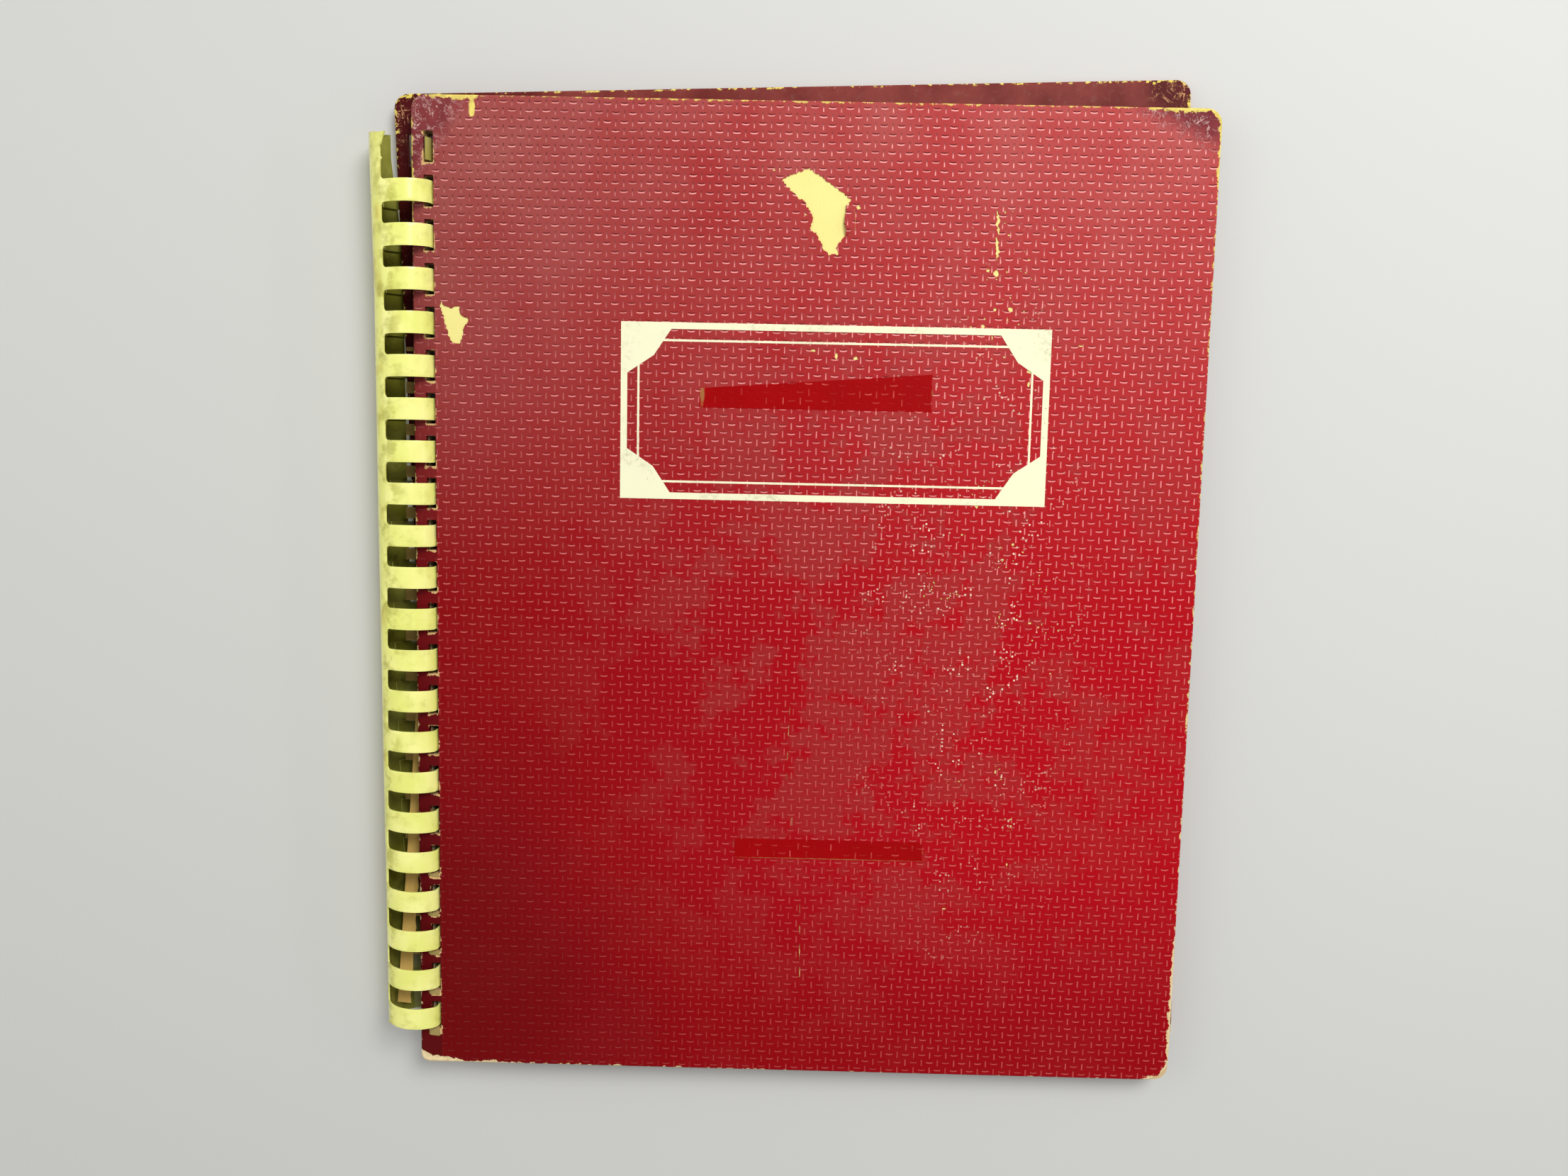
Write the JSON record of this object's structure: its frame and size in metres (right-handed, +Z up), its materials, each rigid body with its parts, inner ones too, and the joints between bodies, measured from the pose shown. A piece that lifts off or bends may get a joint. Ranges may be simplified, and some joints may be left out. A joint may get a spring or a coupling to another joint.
{
  "type": "photo album",
  "caption": "Comb-bound photo album with embossed leatherette covers, a curled plastic comb that has twisted with age, loose album leaves and old tape.",
  "frame": {"origin": "on the back cover's outer face, under the middle of the front cover", "axes": "+Z up, out of the front cover; +Y along the spine towards the top of the album; +X from the spine to the fore edge"},
  "size_m": [0.2833, 0.3433, 0.0205],
  "materials": {
    "red_leatherette": "embossed red leatherette over board, semi-gloss, worn at the edges",
    "maroon_lining": "smooth maroon lining paper, scuffed",
    "chipboard": "raw grey-tan chipboard",
    "yellowed_plastic": "ivory comb plastic yellowed by age, glossy",
    "album_paper": "heavy tan album paper, matt",
    "torn_paper": "browned album paper with torn edges, matt",
    "old_tape": "aged clear cellophane tape, glossy"
  },
  "bodies": {
    "back_cover": {"back_cover_cloth": "red_leatherette", "back_cover_board": "chipboard", "back_cover_lining": "maroon_lining", "leaf_11": "album_paper", "leaf_12": "album_paper", "torn_margin_threaded": "torn_paper", "torn_margin_loose": "torn_paper"},
    "front_strip": {"front_strip_cloth": "red_leatherette", "front_strip_board": "chipboard", "broken_finger": "yellowed_plastic"},
    "front_panel": {"front_panel_cloth": "red_leatherette", "front_panel_board": "chipboard", "front_panel_lining": "maroon_lining", "tape_strip_upper": "old_tape", "tape_strip_lower": "old_tape"},
    "comb": {"binding_comb": "yellowed_plastic"},
    "turning_leaf_01": {"leaf_01": "album_paper"},
    "turning_leaf_02": {"leaf_02": "album_paper"},
    "turning_leaf_03": {"leaf_03": "album_paper"},
    "turning_leaf_04": {"leaf_04": "album_paper"},
    "turning_leaf_05": {"leaf_05": "album_paper"},
    "turning_leaf_06": {"leaf_06": "album_paper"},
    "turning_leaf_07": {"leaf_07": "album_paper"},
    "turning_leaf_08": {"leaf_08": "album_paper"},
    "turning_leaf_09": {"leaf_09": "album_paper"},
    "turning_leaf_10": {"leaf_10": "album_paper"}
  },
  "joints": [
    {"name": "front_cover_hinge", "type": "hinge", "parent": "back_cover", "child": "front_strip", "pos_m": [-0.13665, 0, 0.00688], "axis": [0, -1, 0], "range_deg": [0, 130]},
    {"name": "front_crease_hinge", "type": "hinge", "parent": "front_strip", "child": "front_panel", "pos_m": [-0.12475, 0, 0.01013], "axis": [0, -1, 0], "range_deg": [0, 53]},
    {"name": "comb_turn", "type": "hinge", "parent": "back_cover", "child": "comb", "pos_m": [-0.13665, 0, 0.00688], "axis": [0, -1, 0], "range_deg": [0, 38]},
    {"name": "leaf_01_hinge", "type": "hinge", "parent": "back_cover", "child": "turning_leaf_01", "pos_m": [-0.13665, 0, 0.00688], "axis": [0, -1, 0], "range_deg": [0, 122.5]},
    {"name": "leaf_02_hinge", "type": "hinge", "parent": "back_cover", "child": "turning_leaf_02", "pos_m": [-0.13665, 0, 0.00688], "axis": [0, -1, 0], "range_deg": [0, 110.5]},
    {"name": "leaf_03_hinge", "type": "hinge", "parent": "back_cover", "child": "turning_leaf_03", "pos_m": [-0.13665, 0, 0.00688], "axis": [0, -1, 0], "range_deg": [0, 98]},
    {"name": "leaf_04_hinge", "type": "hinge", "parent": "back_cover", "child": "turning_leaf_04", "pos_m": [-0.13665, 0, 0.00688], "axis": [0, -1, 0], "range_deg": [0, 86]},
    {"name": "leaf_05_hinge", "type": "hinge", "parent": "back_cover", "child": "turning_leaf_05", "pos_m": [-0.13665, 0, 0.00688], "axis": [0, -1, 0], "range_deg": [0, 73.5]},
    {"name": "leaf_06_hinge", "type": "hinge", "parent": "back_cover", "child": "turning_leaf_06", "pos_m": [-0.13665, 0, 0.00688], "axis": [0, -1, 0], "range_deg": [0, 61.5]},
    {"name": "leaf_07_hinge", "type": "hinge", "parent": "back_cover", "child": "turning_leaf_07", "pos_m": [-0.13665, 0, 0.00688], "axis": [0, -1, 0], "range_deg": [0, 49]},
    {"name": "leaf_08_hinge", "type": "hinge", "parent": "back_cover", "child": "turning_leaf_08", "pos_m": [-0.13665, 0, 0.00688], "axis": [0, -1, 0], "range_deg": [0, 37]},
    {"name": "leaf_09_hinge", "type": "hinge", "parent": "back_cover", "child": "turning_leaf_09", "pos_m": [-0.13665, 0, 0.00688], "axis": [0, -1, 0], "range_deg": [0, 24.5]},
    {"name": "leaf_10_hinge", "type": "hinge", "parent": "back_cover", "child": "turning_leaf_10", "pos_m": [-0.13665, 0, 0.00688], "axis": [0, -1, 0], "range_deg": [0, 12.5]}
  ],
  "couplings": [
    {"joint": "comb_turn", "follows": "front_cover_hinge", "ratio": 0.29},
    {"joint": "leaf_01_hinge", "follows": "front_cover_hinge", "ratio": 0.94},
    {"joint": "leaf_02_hinge", "follows": "front_cover_hinge", "ratio": 0.846},
    {"joint": "leaf_03_hinge", "follows": "front_cover_hinge", "ratio": 0.752},
    {"joint": "leaf_04_hinge", "follows": "front_cover_hinge", "ratio": 0.658},
    {"joint": "leaf_05_hinge", "follows": "front_cover_hinge", "ratio": 0.564},
    {"joint": "leaf_06_hinge", "follows": "front_cover_hinge", "ratio": 0.47},
    {"joint": "leaf_07_hinge", "follows": "front_cover_hinge", "ratio": 0.376},
    {"joint": "leaf_08_hinge", "follows": "front_cover_hinge", "ratio": 0.282},
    {"joint": "leaf_09_hinge", "follows": "front_cover_hinge", "ratio": 0.188},
    {"joint": "leaf_10_hinge", "follows": "front_cover_hinge", "ratio": 0.094}
  ]
}
